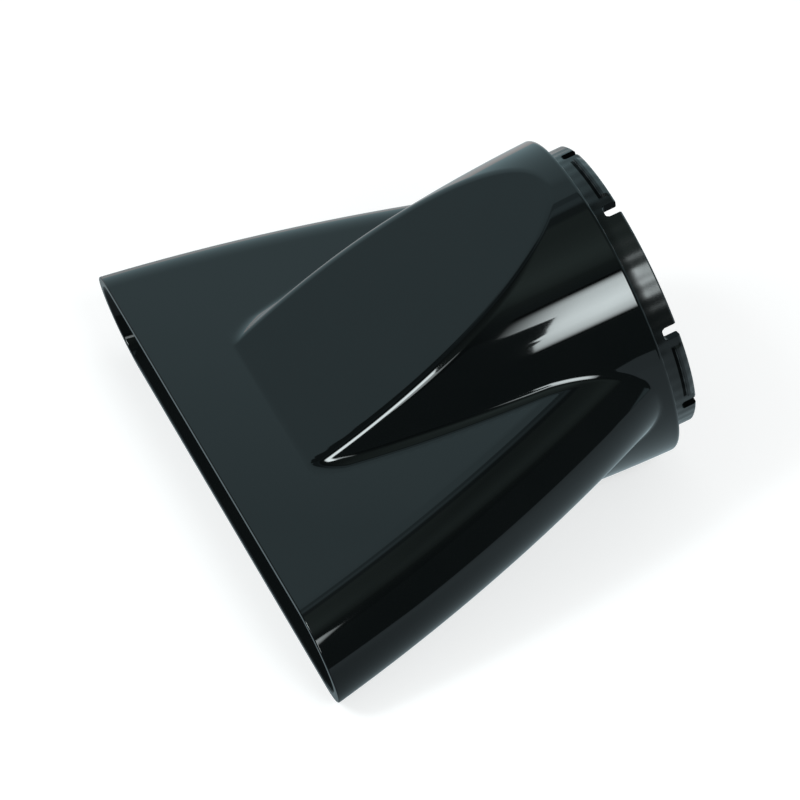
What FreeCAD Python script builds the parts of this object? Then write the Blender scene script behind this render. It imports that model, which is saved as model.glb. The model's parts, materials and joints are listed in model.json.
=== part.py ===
import FreeCAD, Part
import math
import os

os.makedirs("parts", exist_ok=True)

# Hair dryer concentrator nozzle, one hollow moulding.
# Sizes are in millimetres. The nozzle is drawn along X with its outlet at x = 0,
# the outlet's width along Y and its height along Z. It is laid on a table at the end.

# Flat bill with full round sides, from the outlet to the shoulder
OUTLET_WIDTH = 90.0
OUTLET_HEIGHT = 16.4
BILL_WIDTH_AT_SHOULDER = 45.2
BILL_SIDE_BULGE = 2.2

# Round barrel that grows out of the bill
BODY_LENGTH = 59.8
SHOULDER_DIAMETER = 47.4
BARREL_FRONT_DIAMETER = 35.0
BARREL_BULGE = 1.25
SHOULDER_CHAMFER = 0.4

# Flat ramps cut on both faces of the barrel
RAMP_FRONT = 11.3
RAMP_END_GAP = 3.3
RAMP_EDGE_RADIUS = 2.2

# Walls
BODY_WALL = 1.5
SHOULDER_WALL = 1.8
RING_WALL = 1.5

# Plug ring that goes into the dryer
RING_DIAMETER = 42.0
RING_LENGTH = 4.0
RING_CHAMFER = 0.25
TAB_COUNT = 4
TAB_HALF_ANGLE = 19.0
NOTCH_WIDTH = 1.8
NOTCH_DEPTH = 2.2

# Snap beads on the tabs
BEAD_HALF_ANGLE = 13.0
BEAD_LENGTH = 1.3
BEAD_HEIGHT = 0.4
BEAD_ROOT = 0.4

# Overlaps that only help the shapes join
JOIN = 1.0
FAR = 4.0 * (BODY_LENGTH + OUTLET_WIDTH)
BARREL_SEAM_ANGLE = 8.0

# The barrel is turned in short bands and quarter turns, and the inner round sides are flats,
# so that the facets stay few.
BARREL_BANDS = 6
INNER_FLATS = 6


def vec(x, y, z):
    return FreeCAD.Vector(x, y, z)


AXIS = vec(1, 0, 0)
ORIGIN = vec(0, 0, 0)


def circle_through(points):
    curve = Part.Arc(*points).toShape().Curve
    return curve.Center, curve.Radius


# Seen from above, each side of the bill is one arc through three points.
MID_WIDTH = (OUTLET_WIDTH + BILL_WIDTH_AT_SHOULDER) / 2 + 2 * BILL_SIDE_BULGE
SIDE_POINTS = [
    vec(0, OUTLET_WIDTH / 2, 0),
    vec(BODY_LENGTH / 2, MID_WIDTH / 2, 0),
    vec(BODY_LENGTH, BILL_WIDTH_AT_SHOULDER / 2, 0),
]
SIDE_CENTRE, SIDE_R = circle_through(SIDE_POINTS)

# The barrel's outline is one arc through three points too.
SHOULDER_R = SHOULDER_DIAMETER / 2
FRONT_R = BARREL_FRONT_DIAMETER / 2
BARREL_POINTS = [
    vec(RAMP_FRONT, FRONT_R, 0),
    vec((RAMP_FRONT + BODY_LENGTH) / 2, (SHOULDER_R + FRONT_R) / 2 + BARREL_BULGE, 0),
    vec(BODY_LENGTH, SHOULDER_R, 0),
]
BARREL_CENTRE, BARREL_ARC_R = circle_through(BARREL_POINTS)


def barrel_radius(x, inset=0.0):
    return BARREL_CENTRE.y + math.sqrt((BARREL_ARC_R - inset) ** 2 - (x - BARREL_CENTRE.x) ** 2)


RAMP_END = BODY_LENGTH - RAMP_END_GAP
RAMP_SLOPE = (barrel_radius(RAMP_END) - OUTLET_HEIGHT / 2) / (RAMP_END - RAMP_FRONT)


def ramp_height(x, inset=0.0):
    return OUTLET_HEIGHT / 2 + RAMP_SLOPE * (x - RAMP_FRONT) - inset * math.sqrt(1 + RAMP_SLOPE ** 2)


def round_edged_disc(side, inset):
    """A large disc with a full round edge. Two of them cross to make the bill."""
    half_height = OUTLET_HEIGHT / 2 - inset
    flat = SIDE_R - inset - half_height
    low = vec(flat, 0, -half_height)
    high = vec(flat, 0, half_height)
    edge = [Part.Arc(low, vec(SIDE_R - inset, 0, 0), high).toShape()]
    if inset > 0:
        edge = Part.makePolygon(edge[0].discretize(INNER_FLATS + 1)).Edges
    rest = Part.makePolygon([high, vec(0, 0, half_height), vec(0, 0, -half_height), low])
    face = Part.Face(Part.Wire(edge + rest.Edges))
    disc = face.revolve(ORIGIN, vec(0, 0, 1), 360)
    disc.rotate(ORIGIN, vec(0, 0, 1), -90 * side)
    disc.translate(vec(SIDE_CENTRE.x, side * SIDE_CENTRE.y, 0))
    return disc


def bill(x_start, x_end, inset):
    lens = round_edged_disc(1, inset).common(round_edged_disc(-1, inset))
    slab = Part.makeBox(x_end - x_start, 2 * FAR, 2 * FAR, vec(x_start, -FAR, -FAR))
    return lens.common(slab)


def ramp_cutter(side, inset):
    x0 = RAMP_FRONT - BODY_LENGTH
    x1 = 2 * BODY_LENGTH
    corners = [
        vec(x0, -FAR, side * ramp_height(x0, inset)),
        vec(x1, -FAR, side * ramp_height(x1, inset)),
        vec(x1, -FAR, side * FAR),
        vec(x0, -FAR, side * FAR),
    ]
    face = Part.Face(Part.makePolygon(corners + corners[:1]))
    return face.extrude(vec(0, 2 * FAR, 0))


def barrel(x_end, inset, chamfer):
    nose = RAMP_FRONT / 2
    arc_end = x_end - chamfer
    bands = BARREL_BANDS if inset == 0 else 1
    step = (arc_end - nose) / bands / 2
    stations = [nose + step * i for i in range(2 * bands + 1)]
    points = [vec(x, barrel_radius(x, inset), 0) for x in stations]
    outline = Part.makePolygon(points).Edges
    if inset == 0:
        outline = [Part.Arc(*points[2 * i : 2 * i + 3]).toShape() for i in range(bands)]
    corners = [points[-1], vec(x_end, 0, 0), vec(nose, 0, 0), points[0]]
    if chamfer > 0:
        corners.insert(1, vec(x_end, points[-1].y - chamfer, 0))
    rest = Part.makePolygon(corners)
    face = Part.Face(Part.Wire(outline + rest.Edges))
    face.rotate(ORIGIN, AXIS, BARREL_SEAM_ANGLE)
    turns = 4 if inset == 0 else 1
    solid = face.revolve(ORIGIN, AXIS, 360 / turns)
    for i in range(1, turns):
        face.rotate(ORIGIN, AXIS, 360 / turns)
        solid = solid.fuse(face.revolve(ORIGIN, AXIS, 360 / turns))
    return solid.cut(ramp_cutter(1, inset)).cut(ramp_cutter(-1, inset))


def edge_points(edge):
    first = edge.FirstParameter
    last = edge.LastParameter
    return [edge.valueAt(first + (last - first) * k) for k in (0.2, 0.5, 0.8)]


def on_ramp_edge(edge):
    for p in edge_points(edge):
        if abs(abs(p.z) - ramp_height(p.x)) > 0.001:
            return False
        if abs(math.hypot(p.y, p.z) - barrel_radius(p.x)) > 0.001:
            return False
    return True


# Outer skin: the barrel with rounded ramp edges joins the bill.
outer_barrel = barrel(BODY_LENGTH, 0.0, SHOULDER_CHAMFER)
ramp_edges = [e for e in outer_barrel.Edges if on_ramp_edge(e)]
outer_barrel = outer_barrel.makeFillet(RAMP_EDGE_RADIUS, ramp_edges)
skin = bill(0, BODY_LENGTH - JOIN, 0.0).fuse(outer_barrel)

# Air passage: the same two shapes, one wall smaller, and the bore of the ring.
RING_R = RING_DIAMETER / 2
RING_END = BODY_LENGTH + RING_LENGTH
BORE_R = RING_R - RING_WALL
INNER_END = BODY_LENGTH - SHOULDER_WALL
passage = bill(-JOIN, INNER_END, BODY_WALL).fuse(barrel(INNER_END, BODY_WALL, 0.0))
bore = Part.makeCylinder(BORE_R, RING_END - INNER_END + 2 * JOIN, vec(INNER_END - JOIN, 0, 0), AXIS)
body = skin.cut(passage.fuse(bore))


def turned(corners, start_angle, sweep):
    face = Part.Face(Part.makePolygon(corners + corners[:1]))
    face.rotate(ORIGIN, AXIS, start_angle)
    return face.revolve(ORIGIN, AXIS, sweep)


# Plug ring with a broken rim
ring = turned(
    [
        vec(BODY_LENGTH - JOIN, BORE_R, 0),
        vec(RING_END, BORE_R, 0),
        vec(RING_END, RING_R - RING_CHAMFER, 0),
        vec(RING_END - RING_CHAMFER, RING_R, 0),
        vec(BODY_LENGTH - JOIN, RING_R, 0),
    ],
    BARREL_SEAM_ANGLE,
    360,
)


def snap_bead(angle):
    back = RING_END - BEAD_LENGTH
    front = RING_END - RING_CHAMFER
    top = RING_R + BEAD_HEIGHT
    corners = [
        vec(back, RING_R - BEAD_ROOT, 0),
        vec(back, top, 0),
        vec(back + BEAD_LENGTH / 3, top, 0),
        vec(front, RING_R, 0),
        vec(front, RING_R - BEAD_ROOT, 0),
    ]
    return turned(corners, angle - BEAD_HALF_ANGLE, 2 * BEAD_HALF_ANGLE)


def notch(angle):
    length = NOTCH_DEPTH + JOIN
    height = RING_WALL + 2 * JOIN
    corner = vec(RING_END - NOTCH_DEPTH, BORE_R - JOIN, -NOTCH_WIDTH / 2)
    box = Part.makeBox(length, height, NOTCH_WIDTH, corner)
    box.rotate(ORIGIN, AXIS, angle)
    return box


for i in range(TAB_COUNT):
    middle = 360.0 * i / TAB_COUNT
    ring = ring.fuse(snap_bead(middle))
    for side in (-1, 1):
        ring = ring.cut(notch(middle + side * TAB_HALF_ANGLE))

nozzle = body.fuse(ring)

# Rest: the nozzle lies on the lower lip of its outlet and on the underside of the barrel.
rest_angle = 0.0
STEPS = 400
for i in range(STEPS + 1):
    x = RAMP_FRONT + (BODY_LENGTH - SHOULDER_CHAMFER - RAMP_FRONT) * i / STEPS
    under = min(barrel_radius(x), ramp_height(x))
    rest_angle = max(rest_angle, math.atan2(under - OUTLET_HEIGHT / 2, x))
nozzle.rotate(ORIGIN, vec(0, 1, 0), -math.degrees(rest_angle))
box = nozzle.optimalBoundingBox(False, False)
nozzle.translate(vec(-box.Center.x, -box.Center.y, -box.ZMin))

nozzle.Solids[0].exportStep("parts/nozzle_body.step")
box = nozzle.optimalBoundingBox(False, False)
print("solids", len(nozzle.Solids), "valid", nozzle.isValid(), "volume", round(nozzle.Volume, 1))
print("box", [round(v, 3) for v in (box.XMin, box.XMax, box.YMin, box.YMax, box.ZMin, box.ZMax)])
print("rest angle", round(math.degrees(rest_angle), 4))
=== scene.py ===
"""A hair dryer concentrator nozzle in gloss black plastic, lying on a pale studio table."""
import json
import math

import bpy
import numpy as np
from mathutils import Matrix, Vector


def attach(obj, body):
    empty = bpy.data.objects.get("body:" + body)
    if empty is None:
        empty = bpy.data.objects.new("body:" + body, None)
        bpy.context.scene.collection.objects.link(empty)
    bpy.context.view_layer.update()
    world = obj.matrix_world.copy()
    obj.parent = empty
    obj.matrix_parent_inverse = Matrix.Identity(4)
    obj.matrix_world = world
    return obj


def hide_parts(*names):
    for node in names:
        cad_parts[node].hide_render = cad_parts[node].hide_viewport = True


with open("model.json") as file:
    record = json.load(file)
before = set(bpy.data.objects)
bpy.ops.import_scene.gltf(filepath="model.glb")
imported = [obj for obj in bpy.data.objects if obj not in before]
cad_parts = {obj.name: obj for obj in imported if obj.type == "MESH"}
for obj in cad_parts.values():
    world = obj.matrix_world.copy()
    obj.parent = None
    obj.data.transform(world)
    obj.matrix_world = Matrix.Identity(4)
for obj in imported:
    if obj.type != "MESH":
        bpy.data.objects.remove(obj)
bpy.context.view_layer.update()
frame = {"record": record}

MM = 0.001

# Body of the nozzle in millimetres, along its own axis from the outlet at x = 0
OUTLET_WIDTH = 90.0
OUTLET_HEIGHT = 16.4
BILL_WIDTH_AT_SHOULDER = 45.2
BILL_SIDE_BULGE = 2.2
BODY_LENGTH = 59.8
SHOULDER_DIAMETER = 47.4
BARREL_FRONT_DIAMETER = 35.0
BARREL_BULGE = 1.25
RAMP_FRONT = 11.3
RAMP_END_GAP = 3.3
BODY_WALL = 1.5
SHOULDER_WALL = 1.8

# Plug ring with its tabs, notches and snap beads: millimetres, and degrees round the axis
RING_DIAMETER = 42.0
RING_LENGTH = 4.0
RING_WALL = 1.5
TAB_COUNT = 4
TAB_HALF_ANGLE = 19.0
NOTCH_WIDTH = 1.8
NOTCH_DEPTH = 2.2
BEAD_HALF_ANGLE = 13.0
BEAD_END_ANGLE = 0.7
BEAD_LENGTH = 1.3
BEAD_TOP_LENGTH = BEAD_LENGTH / 3
BEAD_HEIGHT = 0.4
BEAD_BACK_LEAN = 0.06

# Radii of the moulded edges. The fillet between bill and barrel tapers between two places.
RAMP_EDGE_RADIUS = 3.2
VALLEY_RADII = (2.8, 1.7)
VALLEY_TAPER = (25.0, 50.0)
LIP_RADIUS = 0.2
SHOULDER_RADIUS = 0.7
SHOULDER_TURN = 45.0
NOTCH_CORNER_RADIUS = 0.45
RIM_CHAMFER = 0.25
BORE_CHAMFER = 0.15
RING_ROOT_RADIUS = 0.15
RING_ROOT_MIDDLE = 0.3 * RING_ROOT_RADIUS

# Finish: tones, roughness of the polish and of the satin ring, noises by scale per metre and detail
BLACK_LOW = (0.0010, 0.0013, 0.0014, 1.0)
BLACK_HIGH = (0.0016, 0.0019, 0.0020, 1.0)
POLISH = (0.035, 0.05)
SATIN = (0.22, 0.28)
CLOUD_NOISE = (90.0, 3.0)
SATIN_NOISE = (400.0, 2.0)
WAVE_NOISE = (120.0, 1.0)
NOISE_RANGE = (0.3, 0.7)
WAVE_STRENGTH = 0.004
RIB_COUNT = 60.0
RIB_HEIGHT = 0.018
PLASTIC_IOR = 1.5
GLOSS = 0.5

# Strips of painted shade, where the gloss is lowered because the real part mirrors its own dark side there:
# millimetres behind and onto a bead, and degrees over which their ends and the notch walls fade. Along the
# axis, one finish gives way to another in a narrow step.
SHADE_GLOSS = 0.03
BEAD_SHADE_BEHIND = 0.5
BEAD_SHADE_ONTO = 0.06
BEAD_SHADE_FADE = (0.5, -0.5)
NOTCH_SHADE_FADE = (0.15, 0.05)
STEP_HALF_WIDTH = 0.02

# Mesh density. The ring's columns are those on half a bead, from there to a notch, and across the notch.
COLUMNS = 400
OUTER_ROWS = 152
INNER_ROWS = 24
EDGE_ROWS = 4
BEAD_SLOPE_ROWS = 4
RING_COLUMNS = [15, 5, 8]
TURN_WEIGHT = 12.0
SECTION_SAMPLES = 1600
BISECTIONS = 44
SHARP_ANGLE = 30.0

# Smallest length, spread under which two directions count as parallel, and slack in degrees at a notch wall
TINY = 1e-9
PARALLEL = 1e-6
ANGLE_SLACK = 1e-6

# Studio in metres. Its room shows only in the gloss.
FOCUS = Vector((0.0, 0.0, 0.023))
COOL = (0.70, 1.0, 1.08)
GREEN = (0.73, 1.0, 0.95)
DARK = (0.72, 1.0, 1.03)
WHITE = (1.0, 1.0, 1.0)
AMBIENT = 0.45
ROOM_LEVEL = 0.47
ROOM_RADIUS = 1.2
ROOM_HEIGHT = 1.2

# Floor as the camera sees it, whiter with distance
FLOOR_HALF = 4.0
FLOOR_ALBEDO = 0.5
FLOOR_GLOW = (0.62, 0.80)
FLOOR_REACH = (0.25, 1.0)

# The same floor in the gloss: a glowing table whose levels along x are painted light, with a painted shadow
# under the lip at the two lowest stops, dark before its front edge and pale behind
TABLE_TINT = (0.78, 1.0, 1.08)
TABLE_LIGHT_AND_SHADOW_STOPS = [(-0.031, 0.23), (-0.025, 0.33), (0.0, 0.40), (0.035, 0.49), (0.06, 0.49), (0.13, 0.44)]
TABLE_EDGE = (0.45, 1.0, 0.0)
TABLE_FRONT = -0.13
TABLE_FADE = 0.03
TABLE_BEHIND = (0.05, 0.15)
BEHIND_LEVEL = 0.80

# Corners of two pale sheets on the table's dark front, mirrored by the barrel's flank and the bill's end
SHEET_LEVEL = 0.46
SHEET_LIFT = 0.0005
SHEETS = [
    [(0.018, -0.13), (0.085, -0.47), (0.190, -0.47), (0.066, -0.13)],
    [(0.440, -0.328), (1.150, -0.820), (1.150, -0.600), (0.440, -0.230)],
]

# Dark curtain round the camera's side, in degrees from +X towards +Y
WALL_START = 115.0
WALL_STOP = 325.5
WALL_STEPS = 60
WALL_LEVEL = 0.085

# Brightness across the ceiling from the camera's side to the far side, and its share along x
CEILING_HALF_WIDTH = 1.3
CEILING_STOPS = [
    (-1.25, 0.09, DARK), (-0.84, 0.12, DARK), (-0.68, 0.17, GREEN), (-0.61, 0.29, GREEN),
    (-0.53, 0.37, GREEN), (-0.44, 0.43, GREEN), (-0.35, 0.42, GREEN), (-0.18, 0.33, GREEN),
    (0.00, 0.27, GREEN), (0.17, 0.26, GREEN), (0.22, 0.15, DARK), (0.31, 0.15, DARK),
    (0.35, 0.38, COOL), (0.38, 0.48, COOL), (0.43, 0.47, COOL), (0.455, 0.33, COOL), (0.80, 0.33, COOL),
]
CEILING_FADE = [(-0.50, 0.35), (-0.30, 1.0), (-0.05, 1.0), (0.15, 0.58)]

# Bright card behind the nozzle, with levels along a slope and dimmer at its left end
CARD_DISTANCE = 0.25
CARD_TOP = 0.58
CARD_LEFT = -0.205
CARD_RIGHT = 0.6
CARD_SLOPE = (-0.85, 0.0, 0.53)
CARD_STOPS = [(0.10, 0.69), (0.155, 0.68), (0.205, 0.555), (0.27, 0.60)]
CARD_FADE = (-0.185, -0.08)
CARD_FADE_LEVEL = 0.84

# Unseen dark sheet in the duct, seen only in reflections: painted shade where the real duct shades itself
DUCT_SHADE_LEVEL = 0.08
DUCT_SHADE_ROWS = 12

# Softboxes. A direction is azimuth and elevation in degrees. An outline is in millimetres, across and up.
# Brightness changes from bottom to top, along lines that may slope, and across.
SOFTBOX_DISTANCE = 0.6
SOFTBOX_TINT = (0.9, 1.0, 1.01)
KEY_DIRECTION = (-98.0, 39.5)
KEY_OUTLINE = [
    (-78, 120), (115, 167), (172, 115), (170, -122), (10, -160), (-6, -100), (-1, -86),
    (-14, -74), (-3, -58), (-8, -30), (-12, 20), (-62, 28), (-78, 40),
]
KEY_STRENGTH = 15.5
KEY_SLOPE = 0.24
KEY_STOPS = [
    (-154, 0.0), (-136, 0.45), (-120, 0.68), (-70, 0.95), (-30, 1.0),
    (20, 0.9), (80, 0.76), (100, 0.55), (124, 0.0),
]
KEY_FADE = [
    (-78, 0.04), (-52, 0.35), (-20, 0.75), (10, 0.92), (60, 1.0), (115, 0.9), (160, 0.25), (170, 0.0),
]
SIDE_DIRECTION = (-177.0, 48.0)
SIDE_OUTLINE = [
    (-30, 88), (110, 92), (180, 98), (240, 140), (290, 150), (290, 120), (240, 75), (190, 40),
    (130, 20), (130, -120), (-30, -120),
]
SIDE_STRENGTH = 18.0
SIDE_SLOPE = 0.0
SIDE_STOPS = [(-120, 1.0), (70, 1.0), (115, 0.85), (180, 0.85)]
SIDE_FADE = [
    (-30, 0.0), (0, 0.8), (30, 1.0), (90, 1.0), (130, 0.35), (200, 0.28), (250, 0.15), (290, 0.0),
]

# Camera of the photograph: metres, degrees, and millimetres for lens and sensor
CAMERA_PLACE = (-0.17452, -0.39891, 0.35738)
CAMERA_AZIMUTH = -23.062
CAMERA_ELEVATION = 38.397
CAMERA_ROLL = 0.860
CAMERA_LENS = 180.0
CAMERA_SENSOR = 36.0
CAMERA_REACH = 20.0

# Values that follow from the sizes
HALF_HEIGHT = OUTLET_HEIGHT / 2
SHOULDER_R = SHOULDER_DIAMETER / 2
FRONT_R = BARREL_FRONT_DIAMETER / 2
MID_WIDTH = (OUTLET_WIDTH + BILL_WIDTH_AT_SHOULDER) / 2 + 2 * BILL_SIDE_BULGE
RAMP_END = BODY_LENGTH - RAMP_END_GAP
INNER_END = BODY_LENGTH - SHOULDER_WALL
RING_END = BODY_LENGTH + RING_LENGTH
RING_R = RING_DIAMETER / 2
BORE_R = RING_R - RING_WALL
NOTCH_HALF_TURN = math.degrees(NOTCH_WIDTH / 2 / RING_R)
NOTCH_START = TAB_HALF_ANGLE - NOTCH_HALF_TURN
NOTCH_STOP = TAB_HALF_ANGLE + NOTCH_HALF_TURN
HALF_PITCH = 180 / TAB_COUNT

# Where the nozzle lies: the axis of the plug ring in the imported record
plug = next(m for m in frame["record"]["mounts"] if m["name"] == "plug_ring")
AXIS = np.array(plug["axis"]) / np.linalg.norm(plug["axis"])
ACROSS = np.array([0.0, 1.0, 0.0])
UP = np.cross(AXIS, ACROSS)
TURN = np.stack([AXIS, ACROSS, UP], -1)
OUTLET_CENTRE = np.array(plug["pos_m"]) - AXIS * (BODY_LENGTH + RING_LENGTH / 2) * MM


def circle_through(a, b, c):
    """Centre and radius of the circle through three points of a plane."""
    rows = np.array([[q[0] - a[0], q[1] - a[1]] for q in (b, c)])
    halves = np.array([(q[0] ** 2 + q[1] ** 2 - a[0] ** 2 - a[1] ** 2) / 2 for q in (b, c)])
    centre = np.linalg.solve(rows, halves)
    return centre, math.hypot(*(centre - np.array(a)))


SIDE_CENTRE, SIDE_R = circle_through(
    (0, OUTLET_WIDTH / 2),
    (BODY_LENGTH / 2, MID_WIDTH / 2),
    (BODY_LENGTH, BILL_WIDTH_AT_SHOULDER / 2),
)
BARREL_CENTRE, BARREL_ARC_R = circle_through(
    (RAMP_FRONT, FRONT_R),
    ((RAMP_FRONT + BODY_LENGTH) / 2, (SHOULDER_R + FRONT_R) / 2 + BARREL_BULGE),
    (BODY_LENGTH, SHOULDER_R),
)


def barrel_radius(x):
    return BARREL_CENTRE[1] + math.sqrt(BARREL_ARC_R ** 2 - (x - BARREL_CENTRE[0]) ** 2)


RAMP_SLOPE = (barrel_radius(RAMP_END) - HALF_HEIGHT) / (RAMP_END - RAMP_FRONT)


# Signed distances to the nozzle's outer forms, each with its outward direction

def bill(p):
    """Flat plate with full round sides that follow an arc."""
    dx = p[..., 0] - SIDE_CENTRE[0]
    dy = np.abs(p[..., 1]) - SIDE_CENTRE[1]
    reach = np.hypot(dx, dy)
    past = np.maximum(reach - (SIDE_R - HALF_HEIGHT), 0)
    z = p[..., 2]
    length = np.maximum(np.hypot(past, z), TINY)
    side = np.where(p[..., 1] < 0, -1.0, 1.0)
    normal = np.stack([past * dx / reach, past * dy * side / reach, z], -1) / length[..., None]
    return length - HALF_HEIGHT, normal


def barrel(p):
    """Round barrel whose outline is an arc."""
    radius = np.maximum(np.hypot(p[..., 1], p[..., 2]), TINY)
    dx = p[..., 0] - BARREL_CENTRE[0]
    dr = radius - BARREL_CENTRE[1]
    length = np.hypot(dx, dr)
    normal = np.stack([dx, dr * p[..., 1] / radius, dr * p[..., 2] / radius], -1) / length[..., None]
    return length - BARREL_ARC_R, normal


def ramps(p):
    """The two planes that slope away from the bill towards the collar."""
    scale = 1 / math.hypot(1, RAMP_SLOPE)
    z = p[..., 2]
    height = HALF_HEIGHT + RAMP_SLOPE * (p[..., 0] - RAMP_FRONT)
    normal = np.zeros_like(p)
    normal[..., 0] = -RAMP_SLOPE * scale
    normal[..., 2] = np.where(z < 0, -scale, scale)
    return (np.abs(z) - height) * scale, normal


def joined(a, a_normal, b, b_normal, radius):
    """Two forms put together, with a fillet of that radius in the corner between them."""
    cosine = (a_normal * b_normal).sum(-1)
    spread = np.maximum(1 - cosine ** 2, TINY)
    u = radius - a
    v = radius - b
    a_share = (u - cosine * v) / spread
    b_share = (v - cosine * u) / spread
    reach = np.sqrt(np.maximum((u * u + v * v - 2 * u * v * cosine) / spread, TINY))
    corner = (a_share > 0) & (b_share > 0) & (spread > PARALLEL)
    distance = np.where(corner, radius - reach, np.minimum(a, b))
    nearest = np.where((a < b)[..., None], a_normal, b_normal)
    blended = (a_share[..., None] * a_normal + b_share[..., None] * b_normal) / reach[..., None]
    return distance, np.where(corner[..., None], blended, nearest)


def crossed(a, a_normal, b, b_normal, radius):
    """What two forms share, with the edge between them rounded."""
    distance, normal = joined(-a, -a_normal, -b, -b_normal, radius)
    return -distance, -normal


def nozzle_form(p):
    """The barrel between its ramps, joined to the bill."""
    body, body_normal = crossed(*barrel(p), *ramps(p), RAMP_EDGE_RADIUS)
    return joined(*bill(p), body, body_normal, np.interp(p[..., 0], VALLEY_TAPER, VALLEY_RADII))


# Mesh of the nozzle: closed rows of points round the axis

def round_axis(x, radius, angle):
    """Points at places along the axis, at a distance from it and an angle round it."""
    x, radius, angle = np.broadcast_arrays(x, radius, angle)
    return np.stack([x, radius * np.cos(angle), radius * np.sin(angle)], -1)


def surface(x, angle, level):
    """Points of the form's level surface on rays from the axis, and their outward directions."""
    near = np.zeros(angle.shape)
    far = np.full(angle.shape, OUTLET_WIDTH)
    for _ in range(BISECTIONS):
        middle = (near + far) / 2
        distance, _ = nozzle_form(round_axis(x, middle, angle))
        outside = distance > level
        far = np.where(outside, middle, far)
        near = np.where(outside, near, middle)
    points = round_axis(x, near, angle)
    return points, nozzle_form(points)[1]


def mirrored(quarter):
    """Angles all the way round from those of the first quarter, both ends included."""
    half = np.concatenate([quarter, math.pi - quarter[-2::-1]])
    return np.concatenate([half, 2 * math.pi - half[-2:0:-1]])


def section(x, level):
    """One closed row of points and directions, closer together where the section turns."""
    dense = np.linspace(0, math.pi / 2, SECTION_SAMPLES)
    points, normals = surface(x, dense, level)
    step = np.linalg.norm(np.diff(points, axis=0), axis=1)
    turn = np.linalg.norm(np.diff(normals, axis=0), axis=1)
    travel = np.concatenate([[0], np.cumsum(step + TURN_WEIGHT * turn)])
    wanted = np.linspace(0, travel[-1], COLUMNS // 4 + 1)
    angles = mirrored(np.interp(wanted, travel, dense))
    return surface(x, angles, level)


def body_stations():
    """Place, level, outward and forward lean of each row, from the inner shoulder round the lip."""
    stations = []
    lip_turn = np.linspace(0, math.pi / 2, EDGE_ROWS + 1)
    for x in np.linspace(INNER_END, LIP_RADIUS, INNER_ROWS + 1):
        stations.append((x, -BODY_WALL, -1.0, 0.0))
    for level, outward, turns in ((-BODY_WALL, -1, lip_turn[1:]), (0.0, 1, lip_turn[:0:-1])):
        for a in turns:
            inset = LIP_RADIUS * (1 - math.cos(a))
            x = LIP_RADIUS * (1 - math.sin(a))
            stations.append((x, level - outward * inset, outward * math.cos(a), -math.sin(a)))
    shoulder_turn = np.radians(np.linspace(0, SHOULDER_TURN, EDGE_ROWS + 1))
    shoulder_start = BODY_LENGTH - SHOULDER_RADIUS * math.sin(shoulder_turn[-1])
    for x in np.linspace(LIP_RADIUS, shoulder_start, OUTER_ROWS + 1):
        stations.append((x, 0.0, 1.0, 0.0))
    for a in shoulder_turn[1:]:
        inset = SHOULDER_RADIUS * (1 - math.cos(a))
        x = shoulder_start + SHOULDER_RADIUS * math.sin(a)
        stations.append((x, -inset, math.cos(a), math.sin(a)))
    return stations


def body_rows():
    """Rows of the body's points and of their directions."""
    points = []
    directions = []
    for x, level, outward, forward in body_stations():
        row, normals = section(x, level)
        normals = outward * normals + np.array([forward, 0, 0])
        points.append(row)
        directions.append(normals / np.linalg.norm(normals, axis=1, keepdims=True))
    return np.array(points), np.array(directions)


def ring_angles():
    """Angles of the ring's columns, with columns on every notch wall and bead end."""
    stops = [0, BEAD_HALF_ANGLE, NOTCH_START, NOTCH_STOP, HALF_PITCH]
    counts = RING_COLUMNS + [COLUMNS // (2 * TAB_COUNT) - sum(RING_COLUMNS)]
    angles = [np.linspace(a, b, n, endpoint=False) for a, b, n in zip(stops, stops[1:], counts)]
    first = np.concatenate(angles + [[HALF_PITCH]])
    quarter = np.concatenate([first, 2 * HALF_PITCH - first[-2::-1]])
    return mirrored(np.radians(quarter))


def from_tab_middle(angles):
    """Degrees between each angle and the middle of the nearest tab."""
    return np.abs((np.degrees(angles) + HALF_PITCH) % (2 * HALF_PITCH) - HALF_PITCH)


def notch_floor(away):
    """Place of the notch floors, which rise to their walls in round corners."""
    wall_gap = np.minimum(np.abs(away - NOTCH_START), np.abs(away - NOTCH_STOP))
    lift = np.maximum(NOTCH_CORNER_RADIUS - np.radians(wall_gap) * RING_R, 0)
    corner = NOTCH_CORNER_RADIUS - np.sqrt(NOTCH_CORNER_RADIUS ** 2 - lift ** 2)
    return RING_END - NOTCH_DEPTH + corner


def ring_rows(angles):
    """Rows of the plug ring from the shoulder over the rim, and which two of them the notches reach."""
    away = from_tab_middle(angles)
    bead = BEAD_HEIGHT * np.clip((BEAD_HALF_ANGLE - away) / BEAD_END_ANGLE, 0, 1)
    floor = notch_floor(away)
    back = RING_END - BEAD_LENGTH
    rim = RING_END - RIM_CHAMFER
    root = [
        (BODY_LENGTH, RING_R + RING_ROOT_RADIUS),
        (BODY_LENGTH + RING_ROOT_MIDDLE, RING_R + RING_ROOT_MIDDLE),
        (BODY_LENGTH + RING_ROOT_RADIUS, RING_R),
    ]
    tabs = [(floor, RING_R), (back - BEAD_BACK_LEAN, RING_R), (back, RING_R + bead)]
    for share in np.linspace(0, 1, BEAD_SLOPE_ROWS):
        x = back + BEAD_TOP_LENGTH + share * (rim - back - BEAD_TOP_LENGTH)
        tabs.append((x, RING_R + bead * (1 - share)))
    tabs += [
        (RING_END, RING_R - RIM_CHAMFER),
        (RING_END, BORE_R + BORE_CHAMFER),
        (RING_END - BORE_CHAMFER, BORE_R),
        (floor, BORE_R),
    ]
    bore = [(INNER_END, BORE_R)]
    rows = np.array([round_axis(x, radius, angles) for x, radius in root + tabs + bore])
    return rows, len(root), len(root) + len(tabs) - 1


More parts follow.
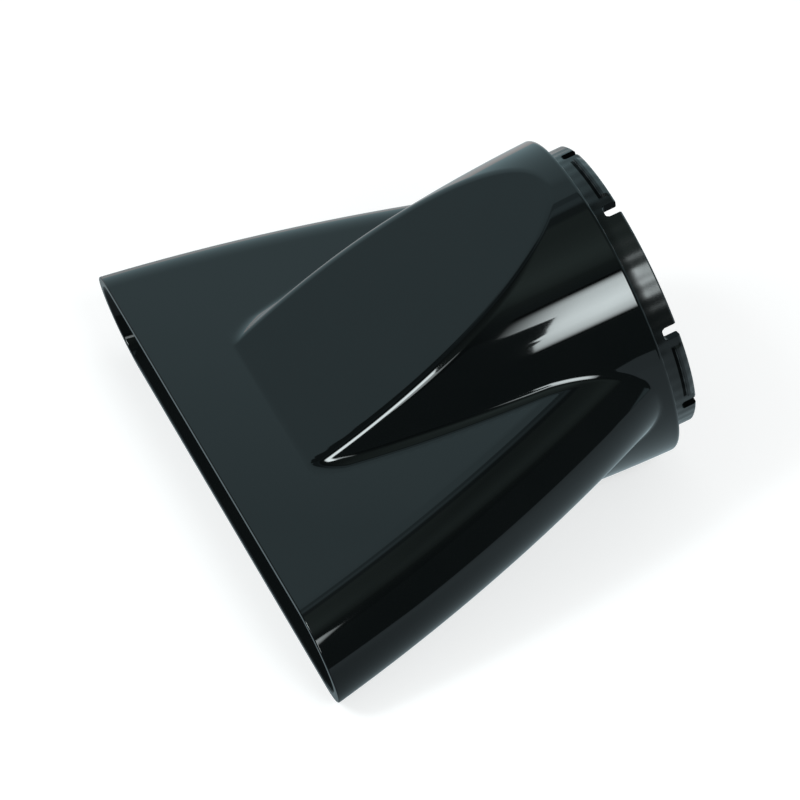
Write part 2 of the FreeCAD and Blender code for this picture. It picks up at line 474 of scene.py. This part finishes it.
def notch_columns(angles):
    """First and last column of every notch."""
    away = from_tab_middle(angles)
    inside = (away > NOTCH_START - ANGLE_SLACK) & (away < NOTCH_STOP + ANGLE_SLACK)
    starts = [k for k in range(COLUMNS) if inside[k] and not inside[k - 1]]
    spans = []
    for first in starts:
        last = first
        while inside[(last + 1) % COLUMNS]:
            last += 1
        spans.append((first, last))
    return spans


def nozzle_mesh():
    """Points, directions and faces of the nozzle. Zero directions on the ring leave those to its faces."""
    body, directions = body_rows()
    angles = ring_angles()
    ring, outer_floor, inner_floor = ring_rows(angles)
    rows = np.concatenate([body, ring])
    row_count = len(rows)
    low = len(body) + outer_floor
    high = len(body) + inner_floor
    spans = notch_columns(angles)
    cut = set()
    for first, last in spans:
        cut |= {(i, k % COLUMNS) for k in range(first, last) for i in range(low, high)}

    def at(i, k):
        return (i % row_count) * COLUMNS + k % COLUMNS

    faces = []
    for i in range(row_count):
        for k in range(COLUMNS):
            if (i, k) not in cut:
                faces.append((at(i, k), at(i, k + 1), at(i + 1, k + 1), at(i + 1, k)))
    for first, last in spans:
        faces.append([at(i, first) for i in range(low, high + 1)])
        faces.append([at(i, last) for i in range(high, low - 1, -1)])
        for k in range(first, last):
            faces.append((at(low, k), at(low, k + 1), at(high, k + 1), at(high, k)))
    normals = np.zeros(rows.shape)
    normals[:len(body)] = directions
    return rows.reshape(-1, 3), normals.reshape(-1, 3), faces


def placed(points):
    """Points of the nozzle's own frame, in metres where it lies."""
    return points @ TURN.T * MM + OUTLET_CENTRE


def new_object(name, data):
    thing = bpy.data.objects.new(name, data)
    bpy.context.scene.collection.objects.link(thing)
    return thing


def build_nozzle():
    points, normals, faces = nozzle_mesh()
    mesh = bpy.data.meshes.new("nozzle_shell")
    mesh.from_pydata(placed(points).tolist(), [], faces)
    mesh.update()
    mesh.shade_smooth()
    mesh.set_sharp_from_angle(angle=math.radians(SHARP_ANGLE))
    turned = normals @ TURN.T
    corners = np.zeros(len(mesh.loops), np.int32)
    mesh.loops.foreach_get("vertex_index", corners)
    mesh.normals_split_custom_set(turned[corners].tolist())
    return new_object("nozzle_shell", mesh)


# Shader nodes

def node(tree, kind, inputs=None, **settings):
    """Adds a shader node. An input is a value, or the socket that feeds it."""
    made = tree.nodes.new("ShaderNode" + kind)
    for name, value in settings.items():
        setattr(made, name, value)
    for name, value in (inputs or {}).items():
        if isinstance(value, bpy.types.NodeSocket):
            tree.links.new(value, made.inputs[name])
        else:
            made.inputs[name].default_value = value
    return made


def calc(tree, operation, *values):
    """Result of a Math node on values or sockets."""
    return node(tree, "Math", dict(enumerate(values)), operation=operation).outputs[0]


def new_material(name):
    material = bpy.data.materials.new(name)
    material.use_nodes = True
    tree = material.node_tree
    tree.nodes.clear()
    return material, tree, tree.nodes.new("ShaderNodeOutputMaterial")


def along(tree, direction):
    """Distance of a point along a direction, in the object's own frame."""
    place = node(tree, "TexCoord").outputs["Object"]
    vectors = {0: place, 1: tuple(direction)}
    return node(tree, "VectorMath", vectors, operation="DOT_PRODUCT").outputs["Value"]


def between(tree, value, low, high, start=0.0, stop=1.0):
    """A value mapped from low..high to start..stop, and held there outside."""
    ends = {"Value": value, "From Min": low, "From Max": high, "To Min": start, "To Max": stop}
    return node(tree, "MapRange", ends).outputs[0]


def noise(tree, scale, detail):
    place = node(tree, "TexCoord").outputs["Object"]
    return node(tree, "TexNoise", {"Vector": place, "Scale": scale, "Detail": detail}).outputs["Fac"]


def colour_ramp(tree, value, stops):
    """Colour along a value from 0 to 1, from places and colours in rising order."""
    ramp = node(tree, "ValToRGB", {0: value})
    elements = ramp.color_ramp.elements
    for element, (place, colour) in zip(elements, (stops[0], stops[-1])):
        element.position = place
        element.color = colour
    for place, colour in stops[1:-1]:
        elements.new(place).color = colour
    return ramp.outputs[0]


def graded(tree, value, stops):
    """Colour along any value, from places and colours in rising order."""
    low, high = stops[0][0], stops[-1][0]
    shares = [((place - low) / (high - low), colour) for place, colour in stops]
    return colour_ramp(tree, between(tree, value, low, high), shares)


def tinted(level, tint):
    return tuple(level * c for c in tint) + (1,)


def mixed(tree, factor, first, second):
    return node(tree, "MixShader", {0: factor, 1: first, 2: second}).outputs[0]


def glow(tree, colour, strength=1.0):
    return node(tree, "Emission", {"Color": colour, "Strength": strength}).outputs[0]


def light_path(tree):
    """Sockets that are 1 for a camera ray, and for a reflected or refracted one."""
    path = node(tree, "LightPath").outputs
    reflected = calc(tree, "MAXIMUM", path["Is Glossy Ray"], path["Is Transmission Ray"])
    return path["Is Camera Ray"], reflected


# Material of the nozzle

def step_at(tree, along_axis, x, before=0.0, after=1.0):
    """One number before a place on the nozzle's axis and another after it."""
    middle = float(OUTLET_CENTRE @ AXIS) + x * MM
    half = STEP_HALF_WIDTH * MM
    return between(tree, along_axis, middle - half, middle + half, before, after)


def tab_wave_at(degrees):
    """Value of the wave round the ring, 1 at the middle of each tab, so many degrees from there."""
    return math.cos(TAB_COUNT * math.radians(degrees))


def painted_shade_behind_beads(tree, along_axis, tab_wave):
    """1 on a strip behind each snap bead, where low gloss is painted as shade."""
    back = RING_END - BEAD_LENGTH
    started = step_at(tree, along_axis, back - BEAD_SHADE_BEHIND)
    going_on = step_at(tree, along_axis, back + BEAD_SHADE_ONTO, 1.0, 0.0)
    on_bead = between(tree, tab_wave, *(tab_wave_at(BEAD_HALF_ANGLE + a) for a in BEAD_SHADE_FADE))
    return calc(tree, "MULTIPLY", calc(tree, "MULTIPLY", started, going_on), on_bead)


def painted_shade_in_notches(tree, along_axis, tab_wave):
    """1 on the walls of the notches, above the round corners of their floors, where low gloss is painted as
    shade.
    """
    after_start = between(tree, tab_wave, *(tab_wave_at(NOTCH_START - a) for a in NOTCH_SHADE_FADE))
    before_stop = between(tree, tab_wave, *(tab_wave_at(NOTCH_STOP + a) for a in NOTCH_SHADE_FADE))
    above = step_at(tree, along_axis, RING_END - NOTCH_DEPTH + NOTCH_CORNER_RADIUS / 2)
    return calc(tree, "MULTIPLY", calc(tree, "MULTIPLY", after_start, before_stop), above)


def gloss_black():
    """Polished black moulding, faintly wavy in its gloss, with a satin plug ring that has faint ribs, and low
    gloss painted as shade behind the beads and on the notch walls.
    """
    material, tree, out = new_material("gloss_black")
    along_axis = along(tree, AXIS)
    on_ring = step_at(tree, along_axis, BODY_LENGTH)
    height = calc(tree, "SUBTRACT", along(tree, UP), float(OUTLET_CENTRE @ UP))
    turn = calc(tree, "ARCTAN2", height, along(tree, ACROSS))

    clouds = noise(tree, *CLOUD_NOISE)
    tone = colour_ramp(tree, clouds, list(zip(NOISE_RANGE, (BLACK_LOW, BLACK_HIGH))))
    polish = between(tree, clouds, *NOISE_RANGE, *POLISH)
    satin = between(tree, noise(tree, *SATIN_NOISE), *NOISE_RANGE, *SATIN)
    roughness = node(tree, "Mix", {0: on_ring, 2: polish, 3: satin}).outputs[0]

    tab_wave = calc(tree, "COSINE", calc(tree, "MULTIPLY", turn, float(TAB_COUNT)))
    # Painted shade: strips behind the beads and on the notch walls lose most of their gloss.
    beads = painted_shade_behind_beads(tree, along_axis, tab_wave)
    notches = painted_shade_in_notches(tree, along_axis, tab_wave)
    gloss = between(tree, calc(tree, "MAXIMUM", beads, notches), 0.0, 1.0, GLOSS, SHADE_GLOSS)

    ribs = calc(tree, "MULTIPLY", calc(tree, "SINE", calc(tree, "MULTIPLY", turn, RIB_COUNT)), on_ring)
    ribbed = node(tree, "Bump", {"Height": ribs, "Strength": 1.0, "Distance": RIB_HEIGHT * MM})
    waves = node(tree, "Bump", {
        "Height": noise(tree, *WAVE_NOISE),
        "Strength": WAVE_STRENGTH,
        "Distance": MM,
        "Normal": ribbed.outputs[0],
    })
    shader = node(tree, "BsdfPrincipled", {
        "Base Color": tone,
        "Roughness": roughness,
        "IOR": PLASTIC_IOR,
        "Specular IOR Level": gloss,
        "Normal": waves.outputs[0],
    })
    tree.links.new(shader.outputs[0], out.inputs[0])
    return material


# Studio

def stage_object(name, points, faces, material):
    mesh = bpy.data.meshes.new(name)
    mesh.from_pydata([tuple(p) for p in points], [], faces)
    mesh.materials.append(material)
    thing = new_object(name, mesh)
    return thing


def only_reflected(thing):
    """A card that shows in the gloss, and neither in the picture nor as shade."""
    thing.visible_camera = False
    thing.visible_diffuse = False
    thing.visible_shadow = False
    for slot in thing.material_slots:
        slot.material.cycles.emission_sampling = "NONE"


def white_world():
    """White to the camera, a cool room in the gloss, and an even light on everything else."""
    world = bpy.data.worlds.new("studio")
    bpy.context.scene.world = world
    world.use_nodes = True
    tree = world.node_tree
    ambient = tree.nodes["Background"]
    ambient.inputs["Color"].default_value = tinted(1.0, WHITE)
    ambient.inputs["Strength"].default_value = AMBIENT
    seen = node(tree, "Background", {"Color": tinted(1.0, WHITE)}).outputs[0]
    room = node(tree, "Background", {"Color": tinted(ROOM_LEVEL, COOL)}).outputs[0]
    camera, reflected = light_path(tree)
    lit = mixed(tree, reflected, ambient.outputs[0], room)
    tree.links.new(mixed(tree, camera, lit, seen), tree.nodes["World Output"].inputs[0])


def pale_floor():
    """White to the camera with the nozzle's soft shadow, and in the gloss a glowing table with painted light
    levels along x, a painted shadow under the lip, and a front edge.
    """
    material, tree, out = new_material("floor")
    plain = node(tree, "BsdfDiffuse", {"Color": tinted(FLOOR_ALBEDO, WHITE)}).outputs[0]
    place = node(tree, "TexCoord").outputs["Object"]
    distance = node(tree, "VectorMath", {0: place}, operation="LENGTH").outputs["Value"]
    whiter = glow(tree, tinted(1.0, WHITE), between(tree, distance, *FLOOR_REACH, *FLOOR_GLOW))
    white = node(tree, "AddShader", {0: plain, 1: whiter}).outputs[0]
    levels = [(x, tinted(level, TABLE_TINT)) for x, level in TABLE_LIGHT_AND_SHADOW_STOPS]
    # Painted light and painted shadow: the table glows by levels along x instead of being lit, darker under
    # the lip.
    top = glow(tree, graded(tree, along(tree, (1, 0, 0)), levels))
    behind = between(tree, along(tree, (0, 1, 0)), *TABLE_BEHIND)
    table = mixed(tree, behind, top, glow(tree, tinted(BEHIND_LEVEL, WHITE)))
    front = between(tree, along(tree, TABLE_EDGE), TABLE_FRONT - TABLE_FADE, TABLE_FRONT)
    table = mixed(tree, front, glow(tree, tinted(WALL_LEVEL, DARK)), table)
    camera, reflected = light_path(tree)
    lit = mixed(tree, reflected, plain, table)
    tree.links.new(mixed(tree, camera, lit, white), out.inputs[0])
    material.cycles.emission_sampling = "NONE"
    h = FLOOR_HALF
    stage_object("floor", [(-h, -h, 0), (h, -h, 0), (h, h, 0), (-h, h, 0)], [(0, 1, 2, 3)], material)


def pale_sheets():
    """The sheets that two flanks of the nozzle mirror."""
    material, tree, out = new_material("sheets")
    tree.links.new(glow(tree, tinted(SHEET_LEVEL, TABLE_TINT)), out.inputs[0])
    points = [(x, y, SHEET_LIFT) for sheet in SHEETS for x, y in sheet]
    faces = [tuple(range(4 * i, 4 * i + 4)) for i in range(len(SHEETS))]
    only_reflected(stage_object("sheets", points, faces, material))


def dark_wall():
    """A dark curtain round the camera's side of the table."""
    material, tree, out = new_material("curtain")
    tree.links.new(glow(tree, tinted(WALL_LEVEL, DARK)), out.inputs[0])
    points = []
    for a in np.radians(np.linspace(WALL_START, WALL_STOP, WALL_STEPS + 1)):
        for z in (0.0, ROOM_HEIGHT):
            points.append((ROOM_RADIUS * math.cos(a), ROOM_RADIUS * math.sin(a), z))
    faces = [(2 * i, 2 * i + 1, 2 * i + 3, 2 * i + 2) for i in range(WALL_STEPS)]
    only_reflected(stage_object("curtain", points, faces, material))


def dim_ceiling():
    """A ceiling in strips, pale over the camera and towards the far side."""
    material, tree, out = new_material("ceiling")
    strips = [(y, tinted(level, tint)) for y, level, tint in CEILING_STOPS]
    shares = [(x, tinted(share, WHITE)) for x, share in CEILING_FADE]
    fade = graded(tree, along(tree, (1, 0, 0)), shares)
    tree.links.new(glow(tree, graded(tree, along(tree, (0, 1, 0)), strips), fade), out.inputs[0])
    w, h = CEILING_HALF_WIDTH, ROOM_HEIGHT
    near, far = strips[0][0], strips[-1][0]
    corners = [(-w, near, h), (w, near, h), (w, far, h), (-w, far, h)]
    only_reflected(stage_object("ceiling", corners, [(0, 1, 2, 3)], material))


def back_card():
    """The bright card that the flats of the nozzle mirror."""
    material, tree, out = new_material("back_card")
    levels = [(s, tinted(level, COOL)) for s, level in CARD_STOPS]
    colour = graded(tree, along(tree, CARD_SLOPE), levels)
    fade = between(tree, along(tree, (1, 0, 0)), *CARD_FADE, CARD_FADE_LEVEL, 1.0)
    tree.links.new(glow(tree, colour, fade), out.inputs[0])
    left, right, y, top = CARD_LEFT, CARD_RIGHT, CARD_DISTANCE, CARD_TOP
    corners = [(left, y, 0), (right, y, 0), (right, y, top), (left, y, top)]
    only_reflected(stage_object("back_card", corners, [(0, 1, 2, 3)], material))


def duct_shade_sheet():
    """Painted shade: a dark glowing sheet that keeps reflections inside the duct dark, where the real duct
    shades itself. Rays that come from outside pass through both its walls.
    """
    material, tree, out = new_material("duct_shade")
    behind = node(tree, "NewGeometry").outputs["Backfacing"]
    passed = node(tree, "LightPath").outputs["Transparent Depth"]
    through = node(tree, "Math", {0: behind, 1: passed}, operation="MAXIMUM", use_clamp=True).outputs[0]
    clear = node(tree, "BsdfTransparent").outputs[0]
    # The dark glow is painted shade.
    dark = glow(tree, tinted(DUCT_SHADE_LEVEL, DARK))
    tree.links.new(mixed(tree, through, dark, clear), out.inputs[0])
    joint = INNER_END + SHOULDER_WALL / 2
    rows = [section(x, -BODY_WALL / 2)[0] for x in np.linspace(LIP_RADIUS, joint, DUCT_SHADE_ROWS)]
    turns = np.arctan2(rows[-1][:, 2], rows[-1][:, 1])
    for x in (joint, RING_END - RIM_CHAMFER):
        rows.append(round_axis(x, BORE_R + RING_WALL / 2, turns))
    faces = []
    for i in range(len(rows) - 1):
        this, following = i * COLUMNS, (i + 1) * COLUMNS
        for k in range(COLUMNS):
            n = (k + 1) % COLUMNS
            faces.append((this + k, following + k, following + n, this + n))
    only_reflected(stage_object("duct_shade", placed(np.concatenate(rows)).tolist(), faces, material))


def softbox(name, direction, outline, strength, slope, stops, fade):
    """A bright card that faces the nozzle from that direction."""
    azimuth, elevation = (math.radians(a) for a in direction)
    away = Vector((
        math.cos(elevation) * math.cos(azimuth),
        math.cos(elevation) * math.sin(azimuth),
        math.sin(elevation),
    ))
    material, tree, out = new_material(name)
    levels = [(v * MM, tinted(share, SOFTBOX_TINT)) for v, share in stops]
    colour = graded(tree, along(tree, (-slope, 1, 0)), levels)
    shares = [(u * MM, tinted(share, WHITE)) for u, share in fade]
    level = calc(tree, "MULTIPLY", graded(tree, along(tree, (1, 0, 0)), shares), strength)
    tree.links.new(glow(tree, colour, level), out.inputs[0])
    points = [(u * MM, v * MM, 0) for u, v in outline]
    card = stage_object(name, points, [tuple(range(len(points)))], material)
    across = Vector((0, 0, 1)).cross(away).normalized()
    turn = Matrix((across, away.cross(across), away)).transposed()
    card.matrix_world = Matrix.Translation(FOCUS + away * SOFTBOX_DISTANCE) @ turn.to_4x4()
    card.visible_camera = False


def photo_camera():
    data = bpy.data.cameras.new("camera")
    data.sensor_width = CAMERA_SENSOR
    data.lens = CAMERA_LENS
    data.clip_end = CAMERA_REACH
    camera = new_object("camera", data)
    turn = Matrix.Rotation(math.radians(CAMERA_AZIMUTH), 4, "Z")
    tilt = Matrix.Rotation(math.radians(90 - CAMERA_ELEVATION), 4, "X")
    roll = Matrix.Rotation(math.radians(CAMERA_ROLL), 4, "Z")
    camera.matrix_world = Matrix.Translation(CAMERA_PLACE) @ turn @ tilt @ roll
    bpy.context.scene.camera = camera


# The nozzle doesn't show in its own gloss. The dark sheet in the duct and the strips of low gloss are painted
# shade that stand for that.
shell = build_nozzle()
shell.data.materials.append(gloss_black())
shell.visible_glossy = False
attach(shell, "root")
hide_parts("nozzle_body")

white_world()
pale_floor()
pale_sheets()
dark_wall()
dim_ceiling()
back_card()
duct_shade_sheet()
softbox("key_softbox", KEY_DIRECTION, KEY_OUTLINE, KEY_STRENGTH, KEY_SLOPE, KEY_STOPS, KEY_FADE)
softbox("side_softbox", SIDE_DIRECTION, SIDE_OUTLINE, SIDE_STRENGTH, SIDE_SLOPE, SIDE_STOPS, SIDE_FADE)
photo_camera()
bpy.context.scene.view_settings.view_transform = "Standard"
